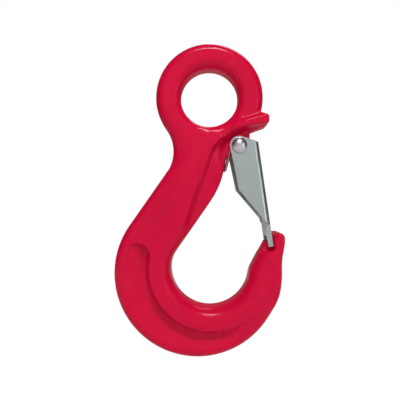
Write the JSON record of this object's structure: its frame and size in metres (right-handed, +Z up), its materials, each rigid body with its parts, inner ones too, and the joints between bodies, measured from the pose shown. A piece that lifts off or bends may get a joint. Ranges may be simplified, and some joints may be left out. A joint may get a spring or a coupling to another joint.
{
  "type": "eye hook with latch",
  "caption": "Forged lifting hook with a round eye, a deep round bowl and a spring-loaded sheet-steel latch that closes its throat",
  "frame": {"origin": "centre of the eye's bore, in the hook's middle plane", "axes": "+Z up from the bowl to the eye, +Y through the eye along its bore, +X towards the latch and tip"},
  "size_m": [0.0938, 0.0257, 0.1734],
  "materials": {
    "powder_coat": "glossy red powder coat over forged steel",
    "zinc_sheet": "satin zinc on pressed sheet",
    "rivet_steel": "bright",
    "spring_wire": "drawn wire"
  },
  "bodies": {
    "hook": {"hook_body": "powder_coat", "latch_rivet": "rivet_steel", "latch_spring": "spring_wire"},
    "latch": {"latch": "zinc_sheet"}
  },
  "joints": [
    {"name": "latch_hinge", "type": "hinge", "parent": "hook", "child": "latch", "pos_m": [0.016, 0, -0.0273], "axis": [0, 1, 0], "range_deg": [0, 42], "stiffness_Nm_per_rad": 0.06, "springref_deg": -45.84, "deforming": ["latch_spring"]}
  ]
}
